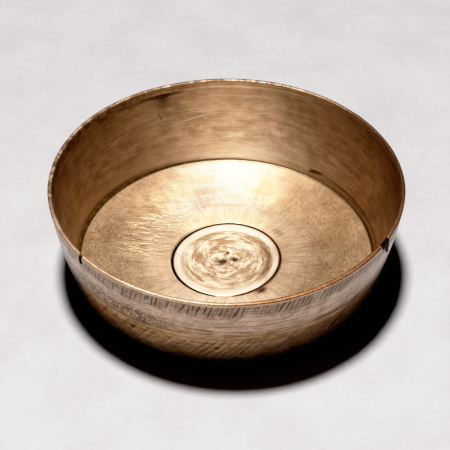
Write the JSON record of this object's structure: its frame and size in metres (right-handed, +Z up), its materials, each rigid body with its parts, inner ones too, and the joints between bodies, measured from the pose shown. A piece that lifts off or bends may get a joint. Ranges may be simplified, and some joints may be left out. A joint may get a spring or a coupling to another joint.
{
  "type": "singing bowl",
  "caption": "Low bronze singing bowl with a straight flaring wall, a dished floor with an engraved circle, and a plain worn rim.",
  "frame": {"origin": "centre of the small flat on the underside that the bowl rests on", "axes": "+Z up along the bowl's axis, out of its mouth; -Y is the front, and +X is the right as seen from the front"},
  "size_m": [0.16, 0.16, 0.0505],
  "materials": {
    "bronze": "brushed and worn",
    "black_deposit": "matt",
    "brown_deposit": "matt"
  },
  "bodies": {
    "root": {"bowl_body": "bronze", "centre_circle_fill": "black_deposit", "foot_crease_fill": "brown_deposit", "fold_pit_fill": "brown_deposit", "centre_mark_fill": "brown_deposit", "left_nick_fill": "black_deposit", "right_nick_fill": "black_deposit"}
  },
  "joints": []
}
